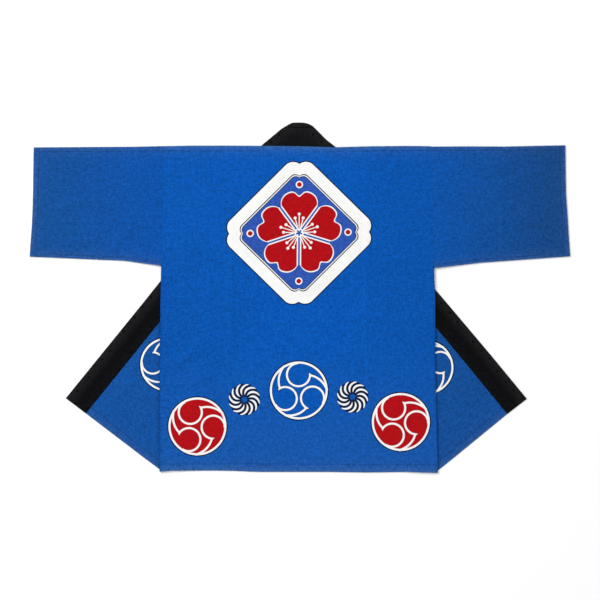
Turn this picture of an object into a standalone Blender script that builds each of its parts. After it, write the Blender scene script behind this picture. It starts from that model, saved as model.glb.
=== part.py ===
"""A cotton happi coat laid flat with its back up, in metres, +Z up, resting on z = 0.

The coat lies the way such coats are laid out to be seen from behind. Each front
is folded back along a line from the neck to the lower corner of its side seam,
so that its collar edge swings outwards and shows beyond the side of the back.
From the floor up the layers are: the collar and the turned parts of the fronts,
the unturned parts of the fronts with the front halves of the sleeves, and the
back with the back halves of the sleeves. X runs to the right, Y to the neck.
"""

import math

import bmesh
import bpy
from mathutils import Vector

# Cloth and seams
CLOTH = 0.0012
COLLAR_CLOTH = 0.0024
SEAM_GAP = 0.0003
FOLD_BULGE = 0.0014
COLLAR_EDGE_ROUND = 0.0007
FOLD_LINE_WIDTH = 0.00025

# The shared grid that every panel is cut from, so that stacked panels never cross
CELL = 0.0252
GRID_LEFT = -0.6342
GRID_LOW = -0.4184
SNAP = 0.001
REACH = 0.75 * CELL
SPREAD = math.sqrt(2.0) * CELL
RAMP = 0.045
PIN_RANGE = 0.004
SLIVER = 0.00005

# Body: name -> (x, y)
BODY = {
    "left shoulder": (-0.3151, 0.3491),
    "right shoulder": (0.3028, 0.3503),
    "right underarm": (0.3119, 0.0681),
    "right corner": (0.3188, -0.4046),
    "left corner": (-0.3243, -0.4023),
    "left underarm": (-0.3207, 0.0736),
}

# Sleeves: name -> (x, y), from the shoulder round the cuff to the underarm
LEFT_SLEEVE = {
    "shoulder": (-0.3151, 0.3491),
    "cuff top": (-0.6145, 0.3473),
    "cuff bottom": (-0.6237, 0.0948),
    "elbow": (-0.4054, 0.0854),
    "underarm": (-0.3207, 0.0736),
}
RIGHT_SLEEVE = {
    "shoulder": (0.3028, 0.3503),
    "cuff top": (0.6135, 0.3515),
    "cuff bottom": (0.6237, 0.0955),
    "elbow": (0.4200, 0.0810),
    "underarm": (0.3119, 0.0681),
}

# Collar: the outer edge from the left end over the neck to the right end
COLLAR_OUTER = {
    "left end": (-0.5380, -0.2309),
    "left side seam": (-0.3211, 0.0364),
    "left shoulder": (-0.0862, 0.3508),
    "left neck": (-0.0323, 0.3956),
    "right neck": (0.0268, 0.3972),
    "right bend": (0.0596, 0.3653),
    "right shoulder": (0.0825, 0.3468),
    "right side seam": (0.3130, 0.0165),
    "right end": (0.5230, -0.2332),
}
NECK_RISE = 0.0082
NECK_FULLNESS = 0.7
NECK_STEPS = 6

# Collar: the edge that is sewn to the fronts and the neck, right to left
COLLAR_SEAM = {
    "right end": (0.4798, -0.2665),
    "right side seam": (0.3149, -0.0696),
    "neck": (-0.0067, 0.3365),
    "left side seam": (-0.3225, -0.0542),
    "left end": (-0.4936, -0.2644),
}

# The line that each front is folded along: side -> (x, y) at the hem and the neck
FOLD_LINES = {
    "left": ((-0.3241, -0.3964), (-0.0732, 0.3498)),
    "right": ((0.3185, -0.3974), (0.0700, 0.3499)),
}

# Where cut edges leave the straight line: (x, offset in y)
BACK_HEM = ((-0.3243, 0.0), (-0.2960, 0.0034), (-0.1150, 0.0030), (0.0, 0.0016),
            (0.1800, 0.0020), (0.3000, 0.0012), (0.3188, 0.0))
BACK_TOP = ((-0.3151, 0.0), (-0.1500, 0.0012), (0.0, 0.0), (0.0830, -0.0026),
            (0.1700, -0.0006), (0.3028, 0.0))

# Broad soft folds in the upper layer: name, x, y, heading in degrees, length, width, height
FOLDS = (
    ("low left", -0.262, -0.155, 22.0, 0.190, 0.100, 0.0020),
    ("mid right", 0.205, -0.035, -4.0, 0.230, 0.095, 0.0018),
    ("hem left", -0.190, -0.345, 8.0, 0.170, 0.090, 0.0014),
    ("hem right", 0.225, -0.350, -14.0, 0.150, 0.090, 0.0014),
    ("left sleeve", -0.470, 0.185, 6.0, 0.200, 0.100, 0.0018),
    ("left underarm", -0.352, 0.130, 58.0, 0.130, 0.080, 0.0018),
    ("right sleeve", 0.480, 0.165, -7.0, 0.210, 0.100, 0.0018),
    ("right underarm", 0.347, 0.125, -57.0, 0.130, 0.080, 0.0018),
)
FOLD_SOFTNESS = 1.5

# Finishes: (red, green, blue), roughness
BLUE_COTTON = ((0.004, 0.090, 0.420), 0.88)
BLACK_COTTON = ((0.008, 0.008, 0.010), 0.85)


def clear_scene():
    """Empty the file, whatever it holds."""
    for old in list(bpy.data.objects):
        bpy.data.objects.remove(old)


def material(name, finish):
    """A plain Principled material in the part's colour."""
    colour, roughness = finish
    made = bpy.data.materials.new(name)
    made.use_nodes = True
    shader = made.node_tree.nodes["Principled BSDF"]
    shader.inputs["Base Color"].default_value = (*colour, 1.0)
    shader.inputs["Roughness"].default_value = roughness
    shader.inputs["Metallic"].default_value = 0.0
    return made


def flat(point):
    """A table's (x, y) as a vector on the floor."""
    return Vector((point[0], point[1], 0.0))


def crossing(start, end, other_start, other_end):
    """Where two lines on the floor meet."""
    along = end - start
    other = other_end - other_start
    gap = other_start - start
    share = (gap.x * other.y - gap.y * other.x) / (along.x * other.y - along.y * other.x)
    return start + along * share


def segment_distance(point, start, end):
    """How far a point lies from a stretch of a line."""
    along = end - start
    share = (point - start).dot(along) / along.length_squared
    return (point - start - along * min(max(share, 0.0), 1.0)).length


def inside(point, outline):
    """Whether a point on the floor lies within an outline."""
    result = False
    for i, corner in enumerate(outline):
        before = outline[i - 1]
        if (corner.y > point.y) != (before.y > point.y):
            share = (point.y - corner.y) / (before.y - corner.y)
            if point.x < corner.x + share * (before.x - corner.x):
                result = not result
    return result


def region_distance(point, outline):
    """How far a point lies outside an outline, 0 within it."""
    if inside(point, outline):
        return 0.0
    return min(segment_distance(point, outline[i - 1], outline[i]) for i in range(len(outline)))


def cover(point, outline):
    """1 on and near an outline's region, easing to 0 over the ramp round it."""
    beyond = (region_distance(point, outline) - SPREAD) / RAMP
    return 0.5 + 0.5 * math.cos(math.pi * min(max(beyond, 0.0), 1.0))


def fold_height(point):
    """How high the broad soft folds lift the upper layer at a point."""
    height = 0.0
    for _, x, y, heading, length, width, rise in FOLDS:
        offset = point - Vector((x, y, 0.0))
        along = Vector((math.cos(math.radians(heading)), math.sin(math.radians(heading)), 0.0))
        run = offset.dot(along) / (0.5 * length)
        side = (offset - along * offset.dot(along)).length / (0.5 * width)
        height += rise * max(1.0 - run * run - side * side, 0.0) ** FOLD_SOFTNESS
    return height


def neck_curve():
    """The rounded top of the collar, between its two neck corners."""
    left = flat(COLLAR_OUTER["left neck"])
    right = flat(COLLAR_OUTER["right neck"])
    points = []
    for i in range(1, NECK_STEPS):
        share = i / NECK_STEPS
        rise = NECK_RISE * math.sin(math.pi * share) ** NECK_FULLNESS
        points.append(left.lerp(right, share) + Vector((0.0, rise, 0.0)))
    return points


def collar_outline():
    """The collar's outline: over the neck along the outer edge, back along the seam."""
    points = []
    for name, point in COLLAR_OUTER.items():
        points.append(flat(point))
        if name == "left neck":
            points.extend(neck_curve())
    points.extend(flat(point) for point in COLLAR_SEAM.values())
    return points


def turned_front_outline(side):
    """The part of a front that is folded out, between its fold and its collar seam."""
    hem_end, neck_end = (flat(point) for point in FOLD_LINES[side])
    collar_end = flat(COLLAR_SEAM[side + " end"])
    bend = flat(COLLAR_SEAM[side + " side seam"])
    neck = flat(COLLAR_SEAM["neck"])
    away = (hem_end - collar_end).normalized() * SEAM_GAP
    top = crossing(hem_end, neck_end, bend + away, neck + away)
    return [hem_end, top, bend + away, collar_end + away]


def lying_front_outline(side):
    """The part of a front that lies unturned under the back, up to its fold."""
    hem_end, neck_end = (flat(point) for point in FOLD_LINES[side])
    shoulder = flat(BODY[side + " shoulder"])
    underarm = flat(BODY[side + " underarm"])
    inset = SEAM_GAP / 2.0 if side == "left" else -SEAM_GAP / 2.0
    seam = Vector((inset, 0.0, 0.0))
    return [hem_end, neck_end, shoulder + seam, underarm + seam]


def back_outline():
    """The back panel, half a seam gap inside both armhole seams."""
    points = []
    for name, point in BODY.items():
        inset = SEAM_GAP / 2.0 if name.startswith("left") else -SEAM_GAP / 2.0
        points.append(flat(point) + Vector((inset, 0.0, 0.0)))
    return points


def sleeve_outline(corners, side):
    """One half of a sleeve, half a seam gap outside its armhole seam."""
    outward = -SEAM_GAP / 2.0 if side == "left" else SEAM_GAP / 2.0
    points = [flat(point) for point in corners.values()]
    points[0] = points[0] + Vector((outward, 0.0, 0.0))
    points[-1] = points[-1] + Vector((outward, 0.0, 0.0))
    return points


SLEEVES = {"left": LEFT_SLEEVE, "right": RIGHT_SLEEVE}
COLLAR_OUTLINE = collar_outline()
TURNED = {side: turned_front_outline(side) for side in FOLD_LINES}
LYING = {side: lying_front_outline(side) for side in FOLD_LINES}
SLEEVE = {side: sleeve_outline(SLEEVES[side], side) for side in SLEEVES}


def middle_height(point):
    """The underside of the middle layer: over the collar and the turned fronts."""
    over_collar = (COLLAR_CLOTH + SEAM_GAP) * cover(point, COLLAR_OUTLINE)
    over_fronts = (CLOTH + SEAM_GAP) * max(cover(point, outline) for outline in TURNED.values())
    return max(over_collar, over_fronts)


def upper_height(point):
    """The underside of the upper layer: over the middle layer, or down where it ends."""
    middle = middle_height(point)
    panels = list(LYING.values()) + list(SLEEVE.values())
    share = max(cover(point, outline) for outline in panels)
    return max(middle, (middle + CLOTH + SEAM_GAP) * share) + fold_height(point)


def grid_patch(outline):
    """A triangulated patch of the shared grid that covers an outline."""
    low_x = min(point.x for point in outline)
    high_x = max(point.x for point in outline)
    low_y = min(point.y for point in outline)
    high_y = max(point.y for point in outline)
    first_column = math.floor((low_x - GRID_LEFT) / CELL)
    last_column = math.ceil((high_x - GRID_LEFT) / CELL)
    first_row = math.floor((low_y - GRID_LOW) / CELL)
    last_row = math.ceil((high_y - GRID_LOW) / CELL)
    columns = last_column - first_column
    rows = last_row - first_row
    patch = bmesh.new()
    bmesh.ops.create_grid(patch, x_segments=columns, y_segments=rows, size=0.5)
    for vert in patch.verts:
        vert.co.x = GRID_LEFT + (first_column + round((vert.co.x + 0.5) * columns)) * CELL
        vert.co.y = GRID_LOW + (first_row + round((vert.co.y + 0.5) * rows)) * CELL
    bmesh.ops.triangulate(patch, faces=patch.faces[:], quad_method="FIXED")
    return patch


def score(patch, start, end):
    """Cut the faces near a stretch of a line, along it."""
    near = [face for face in patch.faces
            if segment_distance(flat(face.calc_center_median()), start, end) < REACH]
    edges = {edge for face in near for edge in face.edges}
    verts = {vert for face in near for vert in face.verts}
    along = end - start
    bmesh.ops.bisect_plane(patch, geom=[*verts, *edges, *near], dist=SNAP, plane_co=start,
                           plane_no=(-along.y, along.x, 0.0), use_snap_center=True)


def pin(patch, corner):
    """Bring the nearest point of a patch exactly to a corner of its outline."""
    nearest = min(patch.verts, key=lambda vert: (flat(vert.co) - corner).length)
    if (flat(nearest.co) - corner).length < PIN_RANGE:
        nearest.co.x = corner.x
        nearest.co.y = corner.y


def panel(outline, height, extra=None):
    """A sheet of the shared grid, lifted by a height and cut to its outline."""
    patch = grid_patch(outline)
    for vert in patch.verts:
        vert.co.z = height(flat(vert.co))
    for i, corner in enumerate(outline):
        score(patch, outline[i - 1], corner)
    if extra:
        score(patch, *extra)
        pin(patch, extra[1])
    outer = [face for face in patch.faces
             if not inside(flat(face.calc_center_median()), outline)]
    bmesh.ops.delete(patch, geom=outer, context="FACES")
    for corner in outline:
        pin(patch, corner)
    return patch


def ease_edge(patch, start, end, table):
    """Move the points on one straight edge by the offsets that a table gives."""
    for vert in patch.verts:
        if segment_distance(flat(vert.co), start, end) < SNAP and vert.is_boundary:
            for (x, offset), (next_x, next_offset) in zip(table, table[1:]):
                if x <= vert.co.x <= next_x:
                    share = (vert.co.x - x) / (next_x - x)
                    smooth = share * share * (3.0 - 2.0 * share)
                    vert.co.y += offset + (next_offset - offset) * smooth
                    break


def thicken(patch, lift):
    """Give a sheet its wall: a second skin, moved up or down, and a rim."""
    made = bmesh.ops.extrude_face_region(patch, geom=patch.faces[:])
    for item in made["geom"]:
        if isinstance(item, bmesh.types.BMVert):
            item.co.z += lift(item)


def add_object(name, body, finish):
    """Close a mesh, face it outwards and put it in the scene."""
    bmesh.ops.triangulate(body, faces=body.faces[:])
    bmesh.ops.dissolve_degenerate(body, dist=SLIVER, edges=body.edges[:])
    bmesh.ops.triangulate(body, faces=body.faces[:])
    bmesh.ops.recalc_face_normals(body, faces=body.faces[:])
    mesh = bpy.data.meshes.new(name)
    body.to_mesh(mesh)
    body.free()
    mesh.materials.append(finish)
    made = bpy.data.objects.new(name, mesh)
    bpy.context.scene.collection.objects.link(made)
    return made


def make_back(finish):
    """The back, over everything else."""
    outline = back_outline()
    patch = panel(outline, upper_height)
    ease_edge(patch, outline[4], outline[3], BACK_HEM)
    ease_edge(patch, outline[0], outline[1], BACK_TOP)
    thicken(patch, lambda vert: CLOTH)
    add_object("back", patch, finish)


def make_sleeve(side, finish):
    """A sleeve's two halves, sewn along the shoulder line and under the arm."""
    for half, height in (("front", middle_height), ("back", upper_height)):
        patch = panel(SLEEVE[side], height)
        thicken(patch, lambda vert: CLOTH)
        add_object("sleeve_" + side + "_" + half, patch, finish)


def fold_edges(patch, level, wanted, start, end):
    """The rim edges of one level that lie on the fold."""
    return [edge for edge in patch.edges
            if edge.is_boundary
            and all(vert[level] == wanted for vert in edge.verts)
            and all(segment_distance(flat(vert.co), start, end) < FOLD_LINE_WIDTH
                    for vert in edge.verts)]


def round_fold(patch, start, end, away):
    """Bow the outside of the fold, which was a flat strip, into a half round."""
    strip = [edge for edge in patch.edges
             if abs(edge.verts[0].co.z - edge.verts[1].co.z) > CLOTH + 2.0 * SEAM_GAP
             and all(segment_distance(flat(vert.co), start, end) < FOLD_LINE_WIDTH
                     for vert in edge.verts)]
    made = bmesh.ops.subdivide_edges(patch, edges=strip, cuts=2, use_grid_fill=True)
    for item in made["geom_inner"]:
        if isinstance(item, bmesh.types.BMVert):
            item.co += away * FOLD_BULGE


def make_front(side, finish):
    """A front: its lying part, its turned part below that, and the fold between."""
    turned = TURNED[side]
    fold_end, fold_top, bend, _ = turned
    body = panel(LYING[side], middle_height, extra=(bend, fold_top))
    level = body.verts.layers.int.new("level")
    for vert in body.verts:
        vert[level] = 1
    below = panel(turned, lambda point: CLOTH)
    lower = bpy.data.meshes.new("turned part")
    below.to_mesh(lower)
    below.free()
    body.from_mesh(lower)
    bpy.data.meshes.remove(lower)
    fold = (fold_end, fold_top)
    upper_rim = fold_edges(body, level, 1, *fold)
    lower_rim = fold_edges(body, level, 0, *fold)
    bmesh.ops.bridge_loops(body, edges=upper_rim + lower_rim)
    thicken(body, lambda vert: CLOTH if vert[level] == 1 else -CLOTH)
    toward = (fold_top - fold_end).normalized()
    away = Vector((toward.y, -toward.x, 0.0))
    if side == "right":
        away = -away
    round_fold(body, *fold, away)
    add_object("front_" + side, body, finish)


def make_collar(finish):
    """The doubled collar band, flat on the floor, with its outer edge softly rounded."""
    body = bmesh.new()
    loop = [body.verts.new(point) for point in COLLAR_OUTLINE]
    body.faces.new(loop)
    made = bmesh.ops.extrude_face_region(body, geom=body.faces[:])
    upper = {item for item in made["geom"] if isinstance(item, bmesh.types.BMVert)}
    bmesh.ops.translate(body, verts=list(upper), vec=(0.0, 0.0, COLLAR_CLOTH))
    bmesh.ops.recalc_face_normals(body, faces=body.faces[:])
    top_edges = [edge for edge in body.edges if all(vert in upper for vert in edge.verts)]
    bmesh.ops.bevel(body, geom=top_edges, offset=COLLAR_EDGE_ROUND, segments=2, profile=0.5,
                    affect="EDGES", material=-1)
    add_object("collar", body, finish)


def make_coat():
    """Every piece of the coat."""
    clear_scene()
    blue = material("blue_cotton", BLUE_COTTON)
    black = material("black_cotton", BLACK_COTTON)
    make_collar(black)
    for side in ("left", "right"):
        make_front(side, blue)
        make_sleeve(side, blue)
    make_back(blue)


make_coat()
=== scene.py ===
# %% [markdown]
# A cotton festival coat, laid flat with its back up.
#
# The coat has a back, two fronts, two halves for each sleeve and one long collar band.
# Both fronts are folded outwards, so that their collar edges show past the sides. The
# solids that are loaded first give each piece its place and size, and the steps below
# turn them into cloth: thin skins with creases, stitching and a printed finish.

# %% Load the solids
import math
from functools import partial

import bmesh
import bpy
from mathutils import Matrix, Vector
from mathutils.bvhtree import BVHTree
from mathutils.geometry import intersect_line_line_2d


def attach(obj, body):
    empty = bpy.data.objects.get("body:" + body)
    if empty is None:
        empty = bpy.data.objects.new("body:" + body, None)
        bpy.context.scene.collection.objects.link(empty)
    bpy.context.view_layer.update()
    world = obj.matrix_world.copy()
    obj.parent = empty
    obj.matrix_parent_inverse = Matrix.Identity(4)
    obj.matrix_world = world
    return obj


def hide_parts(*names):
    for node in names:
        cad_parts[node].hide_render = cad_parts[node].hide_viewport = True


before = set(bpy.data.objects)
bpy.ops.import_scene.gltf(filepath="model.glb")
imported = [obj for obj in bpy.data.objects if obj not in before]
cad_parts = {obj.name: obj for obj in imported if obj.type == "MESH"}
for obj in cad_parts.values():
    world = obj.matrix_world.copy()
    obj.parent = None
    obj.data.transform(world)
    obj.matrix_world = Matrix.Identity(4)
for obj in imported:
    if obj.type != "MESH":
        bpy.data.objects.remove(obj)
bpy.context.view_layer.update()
print("solids:", sorted(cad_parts))

# %% [markdown]
# The camera looks straight down, through a long lens that keeps the sleeves from leaning
# outwards. Its height is the width to cover, times the lens, divided by the sensor.

# %% Camera
VIEW_WIDTH = 1.386
VIEW_CENTRE = (0.0002, -0.0054)
CLOTH_LEVEL = 0.004
LENS = 100.0
SENSOR = 36.0

lens = bpy.data.cameras.new("camera")
lens.lens = LENS
lens.sensor_width = SENSOR
camera = bpy.data.objects.new("camera", lens)
camera.location = (*VIEW_CENTRE, CLOTH_LEVEL + VIEW_WIDTH * LENS / SENSOR)
bpy.context.scene.collection.objects.link(camera)
bpy.context.scene.camera = camera
print("camera height:", round(camera.location.z, 3))

# %% [markdown]
# A white studio: an even sky, so that no side falls dark, and one broad lamp to the upper
# left, because a sky alone would light both flanks of a crease alike. The picture has no
# film curve, so colours stay as they are mixed.

# %% Floor and light
FLOOR_SIZE = 9.0
FLOOR_DROP = 0.0002
SKY_STRENGTH = 0.78
LAMP_PLACE = (-3.0, 2.4, 3.4)
LAMP_SIZE = 2.4
LAMP_POWER = 165.0

scene = bpy.context.scene
scene.view_settings.view_transform = "Standard"

sheet = bmesh.new()
bmesh.ops.create_grid(sheet, x_segments=1, y_segments=1, size=FLOOR_SIZE / 2.0,
                      matrix=Matrix.Translation((0.0, 0.0, -FLOOR_DROP)))
floor_mesh = bpy.data.meshes.new("floor")
sheet.to_mesh(floor_mesh)
sheet.free()
floor = bpy.data.objects.new("floor", floor_mesh)
scene.collection.objects.link(floor)

sky = bpy.data.worlds.new("studio")
sky.use_nodes = True
background = sky.node_tree.nodes["Background"].inputs
background["Color"].default_value = (1.0, 1.0, 1.0, 1.0)
background["Strength"].default_value = SKY_STRENGTH
scene.world = sky

lamp_data = bpy.data.lights.new("lamp", "AREA")
lamp_data.size = LAMP_SIZE
lamp_data.energy = LAMP_POWER
lamp = bpy.data.objects.new("lamp", lamp_data)
lamp.location = LAMP_PLACE
lamp.rotation_euler = (-Vector(LAMP_PLACE)).to_track_quat("-Z", "Y").to_euler()
lamp.visible_camera = False
scene.collection.objects.link(lamp)
print("floor and light set")

# %% [markdown]
# A node material is easier to read as arithmetic than as a wall of node calls. The
# small class below wraps a node's output and overloads the operators, so that
# 1 - mask adds a Math node. Every other kind of node goes through one method.

# %% A socket that Python can calculate with
class Link:
    """A node's output, ready for sums."""

    def __init__(self, tree, socket):
        self.tree = tree
        self.socket = socket

    def node(self, kind, settings=None, sockets=None, output=0):
        """Any node: its settings first, then the values or links of its sockets."""
        made = self.tree.nodes.new("ShaderNode" + kind)
        for name, value in (settings or {}).items():
            setattr(made, name, value)
        for key, value in (sockets or {}).items():
            if isinstance(value, Link):
                self.tree.links.new(value.socket, made.inputs[key])
            else:
                made.inputs[key].default_value = value
        return Link(self.tree, made.outputs[output])

    def math(self, operation, *values, clamp=False):
        """One Math node on this and other values."""
        settings = {"operation": operation, "use_clamp": clamp}
        return self.node("Math", settings, dict(enumerate((self, *values))))

    def into(self, shader, name):
        """Feed one input of a shader."""
        self.tree.links.new(self.socket, shader.inputs[name])

    def __add__(self, other):
        return self.math("ADD", other)

    __radd__ = __add__

    def __sub__(self, other):
        return self.math("SUBTRACT", other)

    def __rsub__(self, other):
        return (self * -1.0).math("ADD", other)

    def __mul__(self, other):
        return self.math("MULTIPLY", other)

    __rmul__ = __mul__

    def __truediv__(self, other):
        return self.math("DIVIDE", other)

    def __abs__(self):
        return self.math("ABSOLUTE")


def lower(one, other):
    """The smaller of two values."""
    return one.math("MINIMUM", other)


def higher(one, other):
    """The larger of two values."""
    return one.math("MAXIMUM", other)


def length(across, up):
    """The length of a slope with two known sides."""
    return (across * across + up * up).math("SQRT")


print("shader sums ready")

# %% [markdown]
# Printed shapes are drawn by distance: a value in millimetres that is below 0 inside a
# shape, 0 on its edge and above 0 outside. One clamped multiply-add turns it into ink,
# and two shapes join by taking the smaller distance. Such shapes are exact at any size.
# Colours are mixed a little darker than they will look, because the studio lifts them.

# %% Ink from distances
PRINT_EDGE = 0.35
LIGHT_GAIN = 0.84


def ink(distance):
    """1 where a distance is below 0 and 0 beyond it, over a soft edge."""
    return distance.math("MULTIPLY_ADD", -1.0 / PRINT_EDGE, 0.5, clamp=True)


def over(colour, mask, paint):
    """A colour with paint on it, as strong as the mask says."""
    return mask.node("Mix", {"data_type": "RGBA"}, {0: mask, 6: colour, 7: paint}, 2)


def screen(colour, gain=LIGHT_GAIN):
    """A screen colour, 0 to 255, as the linear colour that Blender mixes with."""
    mixed = []
    for part in colour:
        share = part / 255.0
        if share > 0.04045:
            mixed.append(gain * ((share + 0.055) / 1.055) ** 2.4)
        else:
            mixed.append(gain * share / 12.92)
    return (*mixed, 1.0)


print("ink ready, soft over", PRINT_EDGE, "mm")

# %% [markdown]
# The emblem is a traditional shape: a white diamond frame whose corners end in two round
# lobes, round a plain five-petalled blossom. One eighth of the frame is enough, because
# the absolute values of x and y, the larger first, fold the other seven onto it. The
# blossom is folded too, by wrapping its angle to a single petal.

# %% Emblem
EMBLEM_CENTRE = (-1.9, 149.8)
EMBLEM_WIDE = 1.004
EMBLEM_TALL = 0.991
EMBLEM_LEAN = 0.006
EMBLEM_RISE = 0.0127
FRAME_OUTER = (189.8, 140.9, 14.6, 24.3)
FRAME_INNER = (152.5, 122.9, 9.9, 13.9)
INSET_RATES = (1.412, 0.9, 0.3, 0.15)
PETAL_REACH = 99.0
PETAL_HALF = math.pi / 5.0
PETAL_GAP = 4.0
PETAL_EDGE = 3.0
NOTCH_SHARP = 39.0
NOTCH_DEPTH = 0.12
SHOULDER_DEPTH = 0.3
STAMEN_ANGLE = math.radians(15.0)
STAMEN_REACH = (44.0, 36.0)
STAMEN_START = 12.0
STALK_HALF = 1.1
STAMEN_HEAD = 3.4
EYE_RADIUS = 9.0
EYE_HALF = 1.6
CORNER_DOT = 112.5
CORNER_DOT_ROUND = 8.5


def lobed_diamond(across, up, reach, lobe_out, lobe_side, lobe_round):
    """Distance to a diamond with two round lobes at each corner."""
    far = higher(abs(across), abs(up))
    near = lower(abs(across), abs(up))
    past = (far - lobe_out) - (near - lobe_side)
    side = (far + near - reach) * math.sqrt(0.5)
    lobe = length(far - lobe_out, near - lobe_side) - lobe_round
    tip = lower(lobe, far - lobe_out)
    return side + past.math("GREATER_THAN", 0.0) * (tip - side)


def inset(frame_sizes, by):
    """The sizes of the same frame drawn a little further in, with its notches kept."""
    return [size - rate * by for size, rate in zip(frame_sizes, INSET_RATES)]


def stamen(radius, angle, reach):
    """Distance to a thin stalk with a round head, pointing along angle 0."""
    across = abs(radius * angle.math("SINE"))
    up = radius * angle.math("COSINE")
    stalk = higher(across - STALK_HALF, higher(up - reach, STAMEN_START - up))
    head = length(across, up - reach) - STAMEN_HEAD
    return lower(stalk, head)


def blossom(across, up):
    """Distances to the petals and to the stamens of a five-petalled blossom."""
    radius = length(across, up)
    turn = across.math("ARCTAN2", up)
    angle = abs(turn.math("WRAP", PETAL_HALF, -PETAL_HALF))
    share = angle / PETAL_HALF
    notch = (share * share * -NOTCH_SHARP).math("EXPONENT") * NOTCH_DEPTH
    shoulder = (share * share) * (share * share) * SHOULDER_DEPTH
    edge = (1.0 - notch - shoulder) * PETAL_REACH
    slit = PETAL_GAP / 2.0 - radius * (PETAL_HALF - angle).math("SINE")
    petals = higher(radius - edge, slit)
    stamens = lower(stamen(radius, angle, STAMEN_REACH[0]),
                    stamen(radius, angle - STAMEN_ANGLE, STAMEN_REACH[1]))
    eye = abs(radius - EYE_RADIUS) - EYE_HALF
    return petals, lower(stamens, eye)


print("emblem frame reaches", FRAME_OUTER[1] + FRAME_OUTER[3], "mm from its centre")

# %% [markdown]
# Two more traditional motifs stand along the hem. In a roundel, three commas chase each
# other round a ring, each a disc whose side opens into a tail. Wrapping the angle to a
# third of a turn draws all three at once. A swirl is a wheel of twelve curved blades,
# made by bending the angle with the square of the radius before it is wrapped.

# %% Roundels and swirls
THIRD = 2.0 * math.pi / 3.0
ROUNDEL_RADIUS = 66.9
RING_WIDTH = 4.8
LINE_WIDTH = 4.6
HEAD_PLACE = 36.4
HEAD_ROUND = 26.7
HOOK_TURN = math.radians(-38.4)
TAIL_TURN = math.radians(-82.0)
TAIL_END = math.radians(-90.0)
HOOK_RADIUS = 43.9
HOOK_TIP = 46.9
TAIL_SLOPE = 0.9
TAIL_STEEP = 45.0
OPENING_STEEP = 60.0
WRAP_START = math.radians(20.0)
BLADES = 12
SWIRL_RADIUS = 36.6
SWIRL_HOLE = 9.8
SWIRL_BEND = math.radians(-41.2)
SWIRL_START = math.radians(26.2)
SWIRL_INNER = 11.1
SWIRL_SPAN = 25.6
BLADE_GAP = 5.6
BLADE_ROOT = 0.6
BLADE_TIP = 1.1


def roundel(across, up, heading, size=1.0):
    """Distances to a roundel's white lines and to its outer edge, in millimetres."""
    radius = length(across, up) / size
    turn = up.math("ARCTAN2", across) - heading
    nearest = turn.math("WRAP", THIRD / 2.0, -THIRD / 2.0)
    behind = turn.math("WRAP", WRAP_START, WRAP_START - THIRD)
    along = radius * nearest.math("COSINE") - HEAD_PLACE
    aside = radius * nearest.math("SINE")
    head = abs(length(along, aside) - HEAD_ROUND) - LINE_WIDTH / 2.0
    opening = higher(nearest * OPENING_STEEP, HOOK_TIP - radius)
    head = higher(head, opening * -1.0)
    rise = (HOOK_TURN - behind) * ((ROUNDEL_RADIUS - RING_WIDTH - HOOK_RADIUS)
                                   / (HOOK_TURN - TAIL_TURN))
    tail = abs(radius - HOOK_RADIUS - rise) * TAIL_SLOPE - LINE_WIDTH / 2.0
    tail = higher(tail, higher(behind - HOOK_TURN, TAIL_END - behind) * TAIL_STEEP)
    edge = radius - ROUNDEL_RADIUS
    ring = higher(edge, ROUNDEL_RADIUS - RING_WIDTH - radius)
    return lower(ring, lower(head, tail)) * size, edge * size


def swirl(across, up):
    """Distances to the blades of a twelve-bladed wheel and to the dark between them."""
    radius = length(across, up)
    bend = (radius - SWIRL_INNER) / SWIRL_SPAN
    turn = up.math("ARCTAN2", across) - SWIRL_START - bend * bend * SWIRL_BEND
    half = math.pi / BLADES
    aside = abs(turn.math("WRAP", half, -half)) * radius
    steep = radius * bend * (2.0 * SWIRL_BEND / SWIRL_SPAN)
    lean = (steep * steep + 1.0).math("SQRT")
    room = radius * half / lean - BLADE_GAP / 2.0
    ends = lower((radius - SWIRL_HOLE) * BLADE_ROOT, (SWIRL_RADIUS - radius) * BLADE_TIP)
    blade = lower(room, ends)
    blades = aside / lean - blade
    return blades, higher(blades - BLADE_GAP / 2.0, radius - SWIRL_RADIUS)


print("roundel of", 2.0 * ROUNDEL_RADIUS, "mm, swirl of", 2.0 * SWIRL_RADIUS, "mm")

# %% [markdown]
# The cotton is a plain weave with slubs: threads that swell here and there. Two noises,
# each stretched along one way, give the threads, and softer ones the clouding of dyed
# cloth. Each piece carries four values: where a point was on the flat cloth, and how far
# it is from the nearest stitched line, free edge and side seam. The threads follow the
# first. The others place the pull of the stitching and a painted shade along it, the pale
# rub of hems and cuffs, and a painted shade along the side seams, where the back rolls
# down and shadows the fronts.

# %% Cotton finish
BODY_BLUE = (8, 87, 181)
SIDE_BLUE = (10, 84, 173)
LOW_BLUE = (24, 88, 172)
WORN_BLUE = (54, 91, 150)
WORN_HEM = (60, 101, 158)
# Sleeve blues at the shoulder and at the cuff, with painted shade: darker than the back, and
# darker still towards the cuffs, the right sleeve most.
SLEEVE_SHADED_BLUES = {
    "left": ((12, 81, 167), (21, 79, 150)),
    "right": ((14, 84, 169), (23, 73, 136)),
}
FRONT_BLUES = {"left": (20, 82, 160), "right": (21, 80, 154)}
FRAME_BLUE = (50, 88, 178)
PRINT_WHITE = (250, 250, 248)
PRINT_RED = (180, 16, 24)
PRINT_NAVY = (14, 26, 62)
COLLAR_BLACK = (11, 11, 13)
# The grey and its span across the band, in millimetres from the free edge, paint a sheen along
# the collar's rounded fold.
COLLAR_SHEEN_GREY = (25, 25, 27)
COLLAR_SHEEN_SPAN = (-27.0, -9.0)
NECK_BLACK = (17, 17, 19)
NECK_PLACE = 842.3
NECK_REACH = (60.0, 130.0)
WORN_BLACK = (44, 46, 50)
COTTON_SHINE = 0.04
RUB_FADE = 9.0
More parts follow.
